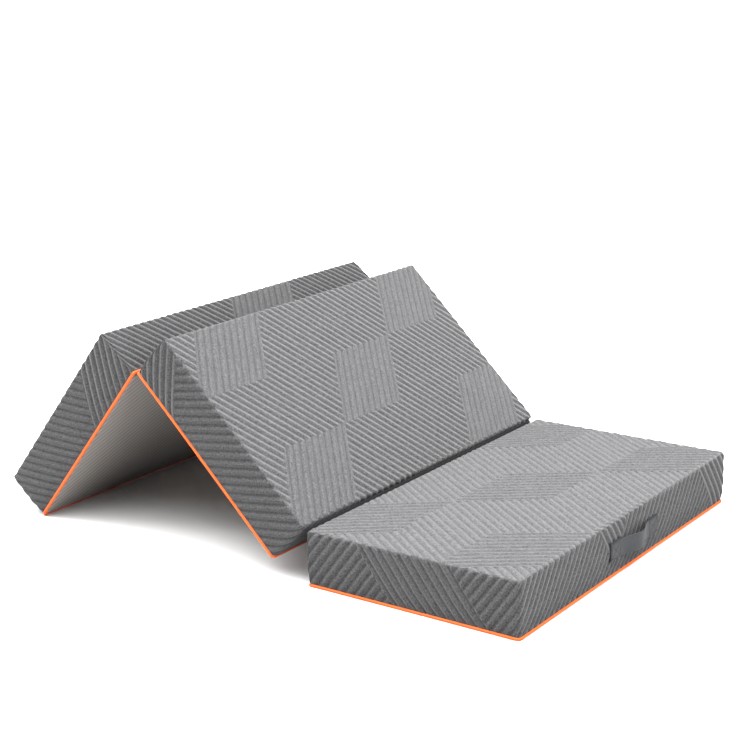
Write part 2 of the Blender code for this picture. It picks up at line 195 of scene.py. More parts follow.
# Foam slabs and the liner round them
LOOP_POINTS = 320
FOAM_INSET = 11.4 * MM
FOAM_FLOOR = 2.9 * MM
FOAM_SPLIT = 111.6 * MM
FOAM_TOP = EDGE_HEIGHT - 4.4 * MM
FOAM_RADIUS = 9 * MM
SLAB_CORNER = 1.5 * MM
SLAB_GAP = 0.3 * MM
LINER = 0.8 * MM
LINER_INSET = 10.3 * MM
LINER_FLOOR = 1.8 * MM
LINER_TOP = EDGE_HEIGHT - 3.3 * MM
LINER_RADIUS = 10.1 * MM
LINER_HEM = 60 * MM

# Cloths over the folds
FOLD_CLOTH = 0.8 * MM
FOLD_DEPTH = 22 * MM
FOLD_REACH = 9 * MM
FOLD_STEPS, FOLD_ROWS = 13, 61

# Zip in the far side
ZIP_LENGTH = 520 * MM
ZIP_SLOT_LENGTH = 521 * MM
ZIP_SLOT_HEIGHT = 8 * MM
ZIP_TAPE_HEIGHT = 26 * MM
ZIP_TAPE = 1 * MM
ZIP_TAPE_STEPS, ZIP_TAPE_ROWS = 105, 27
ZIP_WELT = 0.25 * MM
WELT_PLACE = 4.5 * MM
WELT_WIDTH = 0.8 * MM
TOOTH_PITCH = 1.7 * MM
TOOTH_REACH = 1.9 * MM
TOOTH_RADIUS = 0.45 * MM
WELD_REACH = 0.01 * MM
METAL_EDGE = 0.25 * MM
METAL_EDGE_ANGLE = 40


def panel_places():
    """Origin and the directions along and up of each panel, from the folds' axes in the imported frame."""
    low = np.array(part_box("front_side_band")[0])
    front_axis = np.array(joints["front_fold"]["pos_m"])
    rear_axis = np.array(joints["rear_fold"]["pos_m"])
    front_turn = math.radians(-joints["front_fold"]["range_deg"][0])
    rear_turn = math.radians(joints["rear_fold"]["range_deg"][1]) - front_turn
    half_gap = low[0] - front_axis[0]
    lift = front_axis[2] - HEIGHT
    places = {"front": (np.array((low[0], low[1], 0)), np.array((1, 0, 0)), np.array((0, 0, 1)))}
    along = np.array((math.cos(front_turn), 0, -math.sin(front_turn)))
    up = np.array((math.sin(front_turn), 0, math.cos(front_turn)))
    places["middle"] = (front_axis - along * (LENGTH + half_gap) - up * (HEIGHT + lift), along, up)
    drop = np.dot(places["middle"][0] - rear_axis, up)
    along = np.array((math.cos(rear_turn), 0, math.sin(rear_turn)))
    up = np.array((-math.sin(rear_turn), 0, math.cos(rear_turn)))
    places["rear"] = (rear_axis - along * (LENGTH + half_gap) + up * drop, along, up)
    return places


def placed(points, place):
    """Points of a panel's own frame, carried into the row frame."""
    origin, along, up = place
    points = np.asarray(points, float)
    across = np.array((0.0, 1.0, 0.0))
    return origin + points[..., 0:1] * along + points[..., 1:2] * across + points[..., 2:3] * up


def smooth_step(value, low, high):
    """Rises smoothly from 0 at low to 1 at high."""
    share = np.clip((value - low) / (high - low), 0, 1)
    return share * share * (3 - 2 * share)


def grid_faces(rows, columns, closed=False):
    """Quads over a grid of points that is stored row by row, closed round its columns or not."""
    i, j = np.meshgrid(np.arange(rows - 1), np.arange(columns if closed else columns - 1), indexing="ij")
    here, above, beside = i * columns, (i + 1) * columns, (j + 1) % columns
    return np.stack((here + j, here + beside, above + beside, above + j), axis=-1).reshape(-1, 4)


def grid_edge(rows, columns):
    """The points round a grid that is stored row by row, from its first point along its first row."""
    index = np.arange(rows * columns).reshape(rows, columns)
    return np.concatenate((index[0], index[1:, -1], index[-1, -2::-1], index[-2:0:-1, 0]))


def strip_faces(first, second):
    """Quads between two loops of as many points."""
    return np.stack((first, second, np.roll(second, -1), np.roll(first, -1)), axis=-1)


def set_map(mesh, places):
    """Gives a mesh its map, corner by corner."""
    layer = mesh.uv_layers.new(name="UVMap")
    layer.data.foreach_set("uv", np.asarray(places, np.float32).ravel())


def new_mesh(name, points, quads, uv=None, caps=()):
    """An object of quads, and of larger caps, with a map that is given point by point."""
    points = np.asarray(points, np.float32).reshape(-1, 3)
    quads = np.asarray(quads, np.int32).reshape(-1, 4)
    corners = np.concatenate([quads.ravel()] + [np.asarray(cap, np.int32) for cap in caps])
    counts = np.concatenate((np.full(len(quads), 4), [len(cap) for cap in caps])).astype(np.int32)
    starts = np.concatenate(([0], np.cumsum(counts)[:-1])).astype(np.int32)
    mesh = bpy.data.meshes.new(name)
    mesh.vertices.add(len(points))
    mesh.vertices.foreach_set("co", points.ravel())
    mesh.loops.add(len(corners))
    mesh.loops.foreach_set("vertex_index", corners)
    mesh.polygons.add(len(counts))
    mesh.polygons.foreach_set("loop_start", starts)
    mesh.polygons.foreach_set("loop_total", counts)
    mesh.polygons.foreach_set("use_smooth", np.ones(len(counts), bool))
    mesh.update(calc_edges=True)
    if uv is not None:
        set_map(mesh, np.asarray(uv).reshape(-1, 2)[corners])
    made = bpy.data.objects.new(name, mesh)
    bpy.context.scene.collection.objects.link(made)
    return made


def new_tubes(name, rings, uv=None, inside_out=False):
    """Tubes closed at both ends, as one object, from the rings of one or of many tubes.

    The last three axes of rings are the rings of a tube, the points of a ring and their x, y and z.
    """
    rows, around = rings.shape[-3:-1]
    starts = np.arange(rings.size // (3 * rows * around))[:, None, None] * rows * around
    ring = np.arange(around)
    quads = (grid_faces(rows, around, closed=True) + starts).reshape(-1, 4)
    caps = (np.stack((ring[::-1], ring + (rows - 1) * around)) + starts).reshape(-1, around)
    if inside_out:
        quads, caps = quads[:, ::-1], caps[:, ::-1]
    return new_mesh(name, rings, quads, uv, list(caps))


def finish_piece(piece, material, body, replaces=()):
    """Gives a piece its material, its body and what it stands for."""
    piece.data.materials.append(material)
    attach(piece, body)
    if replaces:
        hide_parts(*replaces)


def swell(height):
    """How far the band lies inside its widest line, at a height on the side."""
    height = np.asarray(height, float)
    low = SWELL * ((WIDEST - height) / (WIDEST - FOOT)) ** 2
    high = TOP_DRAW * ((height - WIDEST) / (EDGE_HEIGHT - EDGE_RADIUS - WIDEST)) ** 2
    return np.where(height < WIDEST, low, high)


def rim(s, inset, ends=PLAIN_ENDS, draw=SIDE_DRAW, least=COVER_CORNER):
    """Place and outward direction on a rounded rectangle inside the panel's outline.

    s is the way round from the near corner, a corner taking two corner radii of it. The
    sides are drawn in half way along, as a parabola. The two ends have corner radii of their own.
    """
    s = np.mod(np.asarray(s, float), AROUND)
    starts = np.array((0, E1, E2, E3))
    lengths = np.array((LENGTH, WIDTH, LENGTH, WIDTH))
    corners = np.array(((0, 0), (LENGTH, 0), (LENGTH, WIDTH), (0, WIDTH)))
    ahead = np.array(((1, 0), (0, 1), (-1, 0), (0, -1)))
    outward = np.array(((0, -1), (1, 0), (0, 1), (-1, 0)))
    radii = np.array((ends[0], ends[1], ends[1], ends[0]))
    side = np.searchsorted(starts, s, side="right") - 1
    length, step, out = lengths[side], ahead[side], outward[side]
    t = s - starts[side]
    turn = np.clip((t - length + CORNER) / CORNER, 0, 1) - np.clip(1 - t / CORNER, 0, 1)
    turn = turn * math.pi / 4
    direction = out * np.cos(turn)[..., None] + step * np.sin(turn)[..., None]
    first = np.maximum(radii[side] - inset, least)
    last = np.maximum(radii[(side + 1) % 4] - inset, least)
    radius = np.where(t < length / 2, first, last)
    share = np.clip((t - CORNER) / (length - 2 * CORNER), 0, 1)
    way = inset + first + share * (length - 2 * inset - first - last)
    centre = corners[side] + step * way[..., None] - out * (inset + radius)[..., None]
    place = centre + direction * np.asarray(radius)[..., None]
    place = place - out * (draw * 4 * share * (1 - share))[..., None]
    return place, direction


def rib_depth(counts, border, depth):
    """How far the ribs' surface lies under their crests, from both counts of ribs.

    Each kind of rib is a squared sine, and one gives way to the other over the zones' border.
    """
    waves = np.sin(math.pi * counts) ** 2
    share = smooth_step(border, -CROSSING, CROSSING)
    return depth * (waves[..., 0] * share + waves[..., 1] * (1 - share))


def top_ribs(x, y, side):
    """The ribs on a panel's top: their depth, both counts of ribs and the zones' border.

    The top has rows of ribs that slant one way, with zones of the other slant in each row. A zone
    is a parallelogram ten ribs wide. Both slants cross as many ribs in a row, so that they meet on
    the rows' borders. The border is positive inside a zone: the least distance to its edges.
    """
    mirror, offset, first, start = TOP_PATTERN[side]
    across = (mirror * y - first) / RIB_PITCH
    along = (x - offset) / ROW
    here = np.floor(along)
    border = np.full(np.shape(x), -1.0)
    for row in (here - 1, here, here + 1):
        zone = np.mod(across + SLANT_RIBS * (along - row - 1) + ZONE_STEP * row, ZONE_PERIOD)
        inside = np.where(zone < (ZONE_PERIOD + ZONE_RIBS) / 2, np.minimum(zone, ZONE_RIBS - zone),
                          zone - ZONE_PERIOD) * RIB_PITCH * SQUARE
        in_row = np.minimum(along - row, row + 1 - along) * ROW
        border = np.maximum(border, np.minimum(inside, in_row))
    counts = np.stack((across + SLANT_RIBS * along, across - SLANT_RIBS * along), axis=-1) + start
    return rib_depth(counts, border, RIB_DEPTH), counts, border


def band_ribs(s, height, side):
    """The ribs on a panel's band, as for the top: slanted ribs, with zones of the other slant."""
    usual, first, zones = BAND_PATTERN[side]
    rise = height / SEAM_HEIGHT
    border = np.full(np.shape(s), -1.0)
    for top_start, foot_start, top_end, foot_end in zones:
        start = foot_start + (top_start - foot_start) * rise
        end = foot_end + (top_end - foot_end) * rise
        for turn in (-AROUND, 0, AROUND):
            inside = np.minimum(s - turn - start, end + turn - s) * BAND_SQUARE
            border = np.maximum(border, inside)
    along = np.interp(s, *BAND_COUNTS[side])
    lean = usual * BAND_RISE * height
    counts = np.stack((along + lean, along - lean), axis=-1) + np.array(first)
    return rib_depth(counts, border, BAND_RIB_DEPTH), counts, border


def seam_depth(s, side):
    """Depth of the ribs where the top meets the band: the mean of the two patterns."""
    place, _ = rim(s, SEAM_INSET, COVER_ENDS[side])
    top = top_ribs(place[..., 0], place[..., 1], side)[0]
    band = band_ribs(s, np.full(np.shape(s), SEAM_HEIGHT), side)[0]
    return (top + band) / 2


def uneven(x, y, z):
    """Slow rises and falls of hand-filled cloth: a sum of slanted waves, 0.4 mm at most."""
    return UNEVEN * sum(share * np.sin(along * x + across * y + up * z + start)
                        for along, across, up, start, share in UNEVEN_WAVES)


def drawn_in(x, y):
    """A place in the panel's plan, with the sides drawn in half way along, as parabolas."""
    share_x, share_y = np.clip(x / LENGTH, 0, 1), np.clip(y / WIDTH, 0, 1)
    return (x + SIDE_DRAW * 4 * share_y * (1 - share_y) * (1 - 2 * share_x),
            y + SIDE_DRAW * 4 * share_x * (1 - share_x) * (1 - 2 * share_y))


def with_fine_ends(total, ends):
    """Steps from 0 to total, small at both ends and even between."""
    ends = np.asarray(ends)
    count = max(2, int(round((total - 2 * ends[-1]) / GRID)))
    middle = np.linspace(ends[-1], total - ends[-1], count + 1)
    return np.concatenate((ends[:-1], middle, total - ends[:-1][::-1]))


def end_radius(x, side):
    """The corner radius of the cover at the end of the panel nearer to x."""
    return np.where(x < LENGTH / 2, COVER_ENDS[side][0], COVER_ENDS[side][1])


def corner_margin(y, inset, radius):
    """How far a rounded corner keeps a row at y from the end of a rounded rectangle."""
    radius = max(radius - inset, COVER_CORNER)
    from_side = np.minimum(np.minimum(y, WIDTH - y) - inset, radius)
    return radius - np.sqrt(np.maximum(radius ** 2 - (radius - from_side) ** 2, 0))


def rounded_grid(inset, y_steps, x_steps, ends):
    """Rows along x over a rounded rectangle, from shares of its length and width."""
    y = inset + y_steps * (WIDTH - 2 * inset)
    low = inset + corner_margin(y, inset, ends[0])
    high = LENGTH - inset - corner_margin(y, inset, ends[1])
    x = low[:, None] + x_steps[None, :] * (high - low)[:, None]
    return x, np.broadcast_to(y[:, None], x.shape).copy()


def top_surface(side):
    """The crowned, ribbed top from the seam inwards, with its ribs' counts and border.

    Rows run along x between the two sides of a rounded rectangle. The height follows a quarter
    circle round the edge and then rises as a sine in both directions. Ribs sink in square to it.
    """
    across, along = WIDTH - 2 * SEAM_INSET, LENGTH - 2 * SEAM_INSET
    x, y = rounded_grid(SEAM_INSET, with_fine_ends(across, SEAM_STEPS) / across,
                        with_fine_ends(along, SEAM_STEPS) / along, COVER_ENDS[side])
    radius = end_radius(x, side)
    qx = np.abs(x - LENGTH / 2) - (LENGTH / 2 - radius)
    qy = np.abs(y - WIDTH / 2) - (WIDTH / 2 - radius)
    in_corner = (qx > 0) & (qy > 0)
    inset = radius - np.where(in_corner, np.hypot(qx, qy), np.maximum(qx, qy))
    angle = np.where(in_corner, np.arctan2(qx, qy), np.where(qx > qy, math.pi / 2, 0))
    out_x, out_y = np.sin(angle) * np.sign(x - LENGTH / 2), np.cos(angle) * np.sign(y - WIDTH / 2)

    lean = np.clip((EDGE_INSET - inset) / EDGE_RADIUS, 0, 1)
    rise_x = np.sin(math.pi / 2 * np.clip((np.minimum(x, LENGTH - x) - EDGE_INSET) / CROWN_REACH, 0, 1))
    rise_y = np.sin(math.pi / 2 * np.clip((np.minimum(y, WIDTH - y) - EDGE_INSET) / CROWN_REACH, 0, 1))
    z = EDGE_HEIGHT - EDGE_RADIUS * (1 - np.sqrt(1 - lean ** 2)) + CROWN_RISE * rise_x * rise_y

    depth, counts, border = top_ribs(x, y, side)
    at_seam = seam_depth(perimeter_place(x, y, qx, qy, in_corner, side), side)
    weight = smooth_step(inset - SEAM_INSET, 0, SEAM_BLEND)
    depth = at_seam + (depth - at_seam) * weight - uneven(x, y, z) * weight

    x, y = drawn_in(x, y)
    points = np.stack((x - out_x * lean * depth, y - out_y * lean * depth,
                       z - np.sqrt(1 - lean ** 2) * depth), axis=-1)
    return points, counts, border


def perimeter_place(x, y, qx, qy, in_corner, side):
    """The way round the panel, s, of the outline's point nearest to (x, y)."""
    right, far = x > LENGTH / 2, y > WIDTH / 2
    first, last = COVER_ENDS[side]
    along = CORNER + np.clip((x - first) / (LENGTH - first - last), 0, 1) * (LENGTH - 2 * CORNER)
    reach = end_radius(x, side)
    across = CORNER + np.clip((y - reach) / (WIDTH - 2 * reach), 0, 1) * (WIDTH - 2 * CORNER)
    turned = np.arctan2(np.maximum(qx, 0), np.maximum(qy, 1e-9)) / (math.pi / 2)
    from_y_side = 2 * CORNER * turned
    s = np.where(qx > qy, np.where(right, E1 + across, AROUND - across), np.where(far, E3 - along, along))
    corner = np.where(right, np.where(far, E2 + CORNER - from_y_side, E1 - CORNER + from_y_side),
                      np.where(far, E3 - CORNER + from_y_side, CORNER - from_y_side))
    return np.where(in_corner, corner, s)


def band_profile():
    """Insets, heights and outward leans of the band, from its turned-in foot over the swell to the seam."""
    levels = (FOOT, WIDEST - ZIP_SLOT_HEIGHT / 2, WIDEST + ZIP_SLOT_HEIGHT / 2, EDGE_HEIGHT - EDGE_RADIUS)
    wall = np.concatenate([np.linspace(low, high, steps, endpoint=False)
                           for low, high, steps in zip(levels, levels[1:], SIDE_STEPS)])
    turns = np.linspace(0, math.pi / 4, ROUND_STEPS + 1)
    heights = np.concatenate(([FOOT - FOOT_TUCK], wall, EDGE_HEIGHT - EDGE_RADIUS * (1 - np.sin(turns))))
    insets = np.concatenate(([SWELL + HEM_REACH], swell(wall), TOP_DRAW + EDGE_RADIUS * (1 - np.cos(turns))))
    across, rise = np.gradient(-insets), np.gradient(heights)
    size = np.hypot(across, rise)
    return insets, heights, rise / size, -across / size


def band_surface(side):
    """The ribbed band round the panel, with its slot for the zip left open.

    A profile is carried round the rounded rectangle, and the ribs sink in square to it.
    Returns the points, the ribs' counts and border, and the slot's columns and rows.
    """
    insets, heights, outs, ups = band_profile()
    slot_start, slot_end = E2 + (LENGTH - ZIP_SLOT_LENGTH) / 2, E2 + (LENGTH + ZIP_SLOT_LENGTH) / 2
    stretches = [np.linspace(a, b, int(round((b - a) / GRID)) + 1)[:-1]
                 for a, b in ((0, slot_start), (slot_start, slot_end), (slot_end, AROUND))]
    s = np.append(np.concatenate(stretches), AROUND)
    columns = (len(stretches[0]), len(stretches[0]) + len(stretches[1]))
    s, inset = np.meshgrid(s, insets)
    height = np.broadcast_to(heights[:, None], s.shape)
    place, direction = rim(s, inset, COVER_ENDS[side])
    depth, counts, border = band_ribs(s, height, side)
    at_seam = seam_depth(s, side)
    weight = smooth_step(SEAM_HEIGHT - height, 0, SEAM_BLEND)
    depth = at_seam + (depth - at_seam) * weight
    slot_reach = np.maximum(np.abs(height - WIDEST) - ZIP_SLOT_HEIGHT / 2,
                            np.maximum(slot_start - s, s - slot_end))
    level = smooth_step(height - FOOT, 0, LEVEL_REACH) * smooth_step(slot_reach, SLOT_EDGE, LEVEL_REACH)
    depth = (depth - uneven(place[..., 0], place[..., 1], height) * weight) * level
    out, up = outs[:, None], ups[:, None]
    points = np.concatenate((place - direction * (out * depth)[..., None],
                             (height - up * depth)[..., None]), axis=-1)
    rows = [int(np.argmin(np.abs(heights - (WIDEST + sign * ZIP_SLOT_HEIGHT / 2)))) for sign in (-1, 1)]
    return points, counts, border, columns, rows


def joined_loop(quads, columns):
    """Quads over a grid, with its last column of points replaced by the first."""
    row, column = quads // columns, quads % columns
    return row * columns + np.where(column == columns - 1, 0, column)


def cover_mesh(name, points, quads, uv_quads, counts, border):
    """A ribbed piece with its map of rib counts and its border stored corner by corner."""
    piece = new_mesh(name, points, quads)
    corners = uv_quads.ravel()
    set_map(piece.data, counts.reshape(-1, 2)[corners])
    made = piece.data.attributes.new("border", "FLOAT", "CORNER")
    made.data.foreach_set("value", border.ravel()[corners].astype(np.float32))
    return piece


def build_cover_top(side, place, knit):
    """The ribbed top, with a turned-in hem behind the seam."""
    points, counts, border = top_surface(side)
    quads, edge = grid_faces(*border.shape), grid_edge(*border.shape)
    flat = points.reshape(-1, 3)
    inward = np.array((LENGTH / 2, WIDTH / 2, 0)) - flat[edge]
    inward[:, 2] = 0
    inward = inward / np.linalg.norm(inward, axis=1)[:, None]
    hem = flat[edge] + inward * HEM_REACH - np.array((0, 0, HEM_REACH))
    hem_index = len(flat) + np.arange(len(edge))
    piece = cover_mesh(side + "_cover_top", placed(np.vstack((flat, hem)), place),
                       np.vstack((quads, strip_faces(edge, hem_index))),
                       np.vstack((quads, strip_faces(edge, edge))), counts, border)
    finish_piece(piece, knit, side + "_panel", [side + "_top_cover"])


def build_cover_band(side, place, knit):
    """The ribbed band, open at the zip, with the slot's edges turned in."""
    points, counts, border, (start, end), (low, high) = band_surface(side)
    rows, count = border.shape
    quads = grid_faces(rows, count)
    row, column = quads[:, 0] // count, quads[:, 0] % count
    quads = quads[(row < low) | (row >= high) | (column < start) | (column >= end)]
    flat = points.reshape(-1, 3)
    index = np.arange(rows * count).reshape(rows, count)
    loop = np.concatenate((index[low, start:end + 1], index[low + 1:high + 1, end],
                           index[high, start:end][::-1], index[low + 1:high, start][::-1]))
    turned_in = flat[loop] - np.array((0, COVER, 0))
    inner = rows * count + np.arange(len(loop))
    used = np.vstack((joined_loop(quads, count), strip_faces(loop, inner)))
    kept, merged = np.unique(used, return_inverse=True)
    piece = cover_mesh(side + "_cover_band", placed(np.vstack((flat, turned_in))[kept], place), merged,
                       np.vstack((quads, strip_faces(loop, loop))), counts, border)
    finish_piece(piece, knit, side + "_panel", [side + "_side_band"])


def level_loops(profile):
    """Level loops round the panel, from pairs of inset and height."""
    s = np.arange(LOOP_POINTS) / LOOP_POINTS * AROUND
    insets, heights = (np.array(values)[:, None] for values in zip(*profile))
    place, _ = rim(s, insets, PLAIN_ENDS, 0.0, SMALLEST_CORNER)
    return np.concatenate((place, np.broadcast_to(heights[..., None], (*place.shape[:2], 1))), axis=-1)


def build_piping(side, place, material):
    """The cord round the base edge: circles carried round the panel, drawn in by a wave at its stitches."""
    s = np.arange(CORD_STEPS + 1) / CORD_STEPS * AROUND
    centre, direction = rim(s, np.full(s.shape, PIPING_INSET), COVER_ENDS[side])
    turn = np.arange(CORD_SIDES + 1) / CORD_SIDES * 2 * math.pi
    radius = PIPING / 2 * (1 - CORD_PUCKER_SHARE * np.sin(s[:, None] / CORD_STITCH * 2 * math.pi))
    out, up = radius * np.cos(turn), PIPING / 2 + radius * np.sin(turn)
    plan = centre[:, None, :] + direction[:, None, :] * out[..., None]
    uv = np.stack(np.broadcast_arrays(s[:, None], turn * PIPING / 2), axis=-1)
    piece = wrapped_tube(side + "_cord", placed(np.concatenate((plan, up[..., None]), axis=-1), place), uv)
    finish_piece(piece, material, side + "_panel", [side + "_piping"])


def wrapped_tube(name, points, uv):
    """A tube closed both ways, whose map runs on without a jump."""
    rows, columns = points.shape[:2]
    corners = grid_faces(rows, columns)[:, ::-1].ravel()
    index = np.arange(rows * columns).reshape(rows, columns)
    index[-1] = index[0]
    index[:, -1] = index[:, 0]
    kept, merged = np.unique(index.ravel()[corners], return_inverse=True)
    piece = new_mesh(name, points.reshape(-1, 3)[kept], merged)
    set_map(piece.data, uv.reshape(-1, 2)[corners])
    return piece


def build_base_cloth(side, place, material):
    """The cloth under the panel: a thin closed sheet over a rounded rectangle, with a map in metres."""
    x, y = rounded_grid(BASE_INSET, np.linspace(0, 1, BASE_ROWS), np.linspace(0, 1, BASE_COLUMNS),
                        COVER_ENDS[side])
    lower = np.stack((*drawn_in(x, y), np.zeros(x.shape)), axis=-1)
    upper = lower + np.array((0, 0, BASE_THICKNESS))
    quads, edge = grid_faces(*x.shape), grid_edge(*x.shape)
    plan = np.stack((x, y), axis=-1).reshape(-1, 2)
    piece = new_mesh(side + "_base_sheet", placed(np.stack((lower, upper)), place),
                     np.vstack((quads[:, ::-1], quads + x.size, strip_faces(edge + x.size, edge))),
                     uv=np.vstack((plan, plan)))
    finish_piece(piece, material, side + "_panel", [side + "_base_cloth"])


def arc(centre_inset, centre_height, radius, start, end, steps):
    """(inset, height) pairs on a circle, by the angle from the outward direction."""
    turns = np.radians(np.linspace(start, end, steps + 1))
    return [(centre_inset - radius * math.cos(t), centre_height + radius * math.sin(t)) for t in turns]


def crowned(start_inset, height, steps=7):
    """(inset, height) pairs over the crown, inwards from the rounded edge."""
    shares = np.linspace(0, 1, steps + 1)[1:]
    return [(start_inset + share * CROWN_REACH, height + CROWN_RISE * math.sin(math.pi / 2 * share))
            for share in shares]


def build_foams(side, place, materials):
    """The soft slab, with a round upper edge and a crown, and the firm slab, with a round lower edge."""
    soft = [(FOAM_INSET + SLAB_CORNER, FOAM_SPLIT)]
    soft += arc(FOAM_INSET + SLAB_CORNER, FOAM_SPLIT + SLAB_CORNER, SLAB_CORNER, -60, 0, 2)
    soft += arc(FOAM_INSET + FOAM_RADIUS, FOAM_TOP - FOAM_RADIUS, FOAM_RADIUS, 0, 90, 6)
    soft += crowned(FOAM_INSET + FOAM_RADIUS, FOAM_TOP)
    firm = arc(FOAM_INSET + FOAM_RADIUS, FOAM_FLOOR + FOAM_RADIUS, FOAM_RADIUS, -90, 0, 6)
    firm += arc(FOAM_INSET + SLAB_CORNER, FOAM_SPLIT - SLAB_GAP - SLAB_CORNER, SLAB_CORNER, 0, 90, 3)
    for name, profile, material, kind in (("_soft_slab", soft, materials[0], "comfort_foam"),
                                          ("_firm_slab", firm, materials[1], "support_foam")):
        slab = new_tubes(side + name, placed(level_loops(profile), place))
        finish_piece(slab, material, side + "_panel", [side + "_" + kind])


def build_liner(side, place, material):
    """The sock round the foam: a thin wall, open underneath inside its hem."""
    bend = LINER_INSET + LINER_RADIUS
    outer, inner = ([(bend + LINER_HEM, LINER_FLOOR + wall)]
                    + arc(bend, LINER_FLOOR + LINER_RADIUS, LINER_RADIUS - wall, -90, 0, 6)
                    + arc(bend, LINER_TOP - LINER_RADIUS, LINER_RADIUS - wall, 0, 90, 6)
                    + crowned(bend, LINER_TOP - wall) for wall in (0, LINER))
    ring = np.arange(LOOP_POINTS)
    half = len(outer) * LOOP_POINTS
    quads = grid_faces(len(outer), LOOP_POINTS, closed=True)
    quads = np.vstack((quads, quads + half, strip_faces(ring, ring + 2 * half - LOOP_POINTS)))
    piece = new_mesh(side + "_foam_sock", placed(level_loops(outer + inner[::-1]), place), quads,
                     caps=[ring + half - LOOP_POINTS, (ring + half)[::-1]])
    finish_piece(piece, material, side + "_panel", [side + "_liner"])


# Handle
HANDLE_MIDDLE = WIDTH / 2
PATCH_LENGTH = 57 * MM
PATCH_HEIGHT = 56 * MM
PATCH = 1.2 * MM
STRAP_HEIGHT = 50 * MM
STRAP = 2.4 * MM
STRAP_SPAN = 162 * MM
STRAP_BOW = 21 * MM
STRAP_LEVEL = 77 * MM
PATCH_STAND = 0.5 * MM
STRAP_STAND = 2 * PATCH_STAND + PATCH
TAPE_STEPS = 17
PATCH_STEPS = 25
STRAP_STEPS = 121
WEBBING_THREADS = (1.6 * MM, 1.3 * MM)
WEBBING_RELIEF = 0.25 * MM
STITCH_MARGIN = 5 * MM
STITCH_PITCH = 3.6 * MM
STITCH_RADIUS = 0.8 * MM
STITCH_STAND = 0.15 * MM
STITCH_GAP_SHARES = (0.08, 0.2)


def wall_place(across, height, stand_off):
    """A point this far off the end wall at x = length."""
    share = (across - CORNER) / (WIDTH - 2 * CORNER)
    x = LENGTH - SIDE_DRAW * 4 * share * (1 - share) - swell(height) + stand_off
    return np.stack(np.broadcast_arrays(x, across, height), axis=-1)


def bow(across):
    """How far the strap stands out over its seat, a squared sine between its sewn ends."""
    share = np.clip((across - HANDLE_MIDDLE + STRAP_SPAN / 2) / STRAP_SPAN, 0, 1)
    return STRAP_BOW * np.sin(math.pi * share) ** 2


def flat_tape(name, across, width, thickness, seat, place):
    """A woven tape on the end wall: a flat section with round selvages, carried along y."""
    share = np.linspace(-1, 1, TAPE_STEPS)
    belly = thickness / 2 * (1 - np.abs(share) ** 10) ** 0.5
    rise = np.concatenate((share, share[::-1][1:-1])) * width / 2
    off = np.concatenate((belly, -belly[::-1][1:-1])) + thickness / 2
    points = wall_place(across[:, None], STRAP_LEVEL + rise, seat(across)[:, None] + off)
    uv = np.stack(np.broadcast_arrays(across[:, None], rise), axis=-1)
    return new_tubes(name, placed(points, place), uv)


def stitch_rows(middle):
    """Start and end of the stitch lines on one sewn end of the strap: a box and its two diagonals."""
    a, h = PATCH_LENGTH / 2 - STITCH_MARGIN, STRAP_HEIGHT / 2 - STITCH_MARGIN
    corners = np.array(((-a, -h), (a, -h), (a, h), (-a, h))) + (middle, STRAP_LEVEL)
    return [(corners[k], corners[m]) for k, m in ((0, 1), (1, 2), (2, 3), (3, 0), (0, 2), (1, 3))]


def build_stitches(name, lines, seat, place, material):
    """Rows of thread: small pointed beads laid end to end on the strap."""
    starts, ways = [], []
    for a, b in lines:
        count = max(2, int(round(np.linalg.norm(b - a) / STITCH_PITCH)))
        cuts = np.arange(count)[:, None] + STITCH_GAP_SHARES[0]
        starts.append(a + (b - a) * cuts / count)
        ways.append(np.repeat((b - a)[None] * (1 - sum(STITCH_GAP_SHARES)) / count, count, axis=0))
    start, way = np.vstack(starts), np.vstack(ways)
    along = np.linspace(0, 1, 5)
    thick = (STITCH_RADIUS * np.array((0.35, 0.9, 1, 0.9, 0.35)))[:, None]
    turn = np.arange(6) / 6 * 2 * math.pi
    side_way = np.stack((-way[:, 1], way[:, 0]), axis=-1) / np.linalg.norm(way, axis=1)[:, None]
    centre = start[:, None, :] + way[:, None, :] * along[None, :, None]
    flat = centre[:, :, None, :] + side_way[:, None, None, :] * (thick * np.cos(turn))[None, :, :, None]
    off = seat(flat[..., 0]) + thick * np.sin(turn) + STITCH_STAND
    piece = new_tubes(name, placed(wall_place(flat[..., 0], flat[..., 1], off), place))
    finish_piece(piece, material, "front_panel")


def build_handle(place, webbing, thread):
    """Strap, patches and stitches on the end of the front panel."""
    offset = (STRAP_SPAN + PATCH_LENGTH) / 2
    for label, middle in (("near", HANDLE_MIDDLE - offset), ("far", HANDLE_MIDDLE + offset)):
        across = middle + np.linspace(-0.5, 0.5, PATCH_STEPS) * PATCH_LENGTH
        patch = flat_tape("patch_" + label, across, PATCH_HEIGHT, PATCH,
                          lambda y: np.full(np.shape(y), PATCH_STAND), place)
        finish_piece(patch, webbing, "front_panel", ["handle_patch_" + label])
        build_stitches("stitches_" + label, stitch_rows(middle), lambda y: STRAP_STAND + STRAP + bow(y),
                       place, thread)
    across = HANDLE_MIDDLE + np.linspace(-0.5, 0.5, STRAP_STEPS) * (STRAP_SPAN + 2 * PATCH_LENGTH)
    strap = flat_tape("carry_strap", across, STRAP_HEIGHT, STRAP, lambda y: STRAP_STAND + bow(y), place)
    finish_piece(strap, webbing, "front_panel", ["handle_strap"])


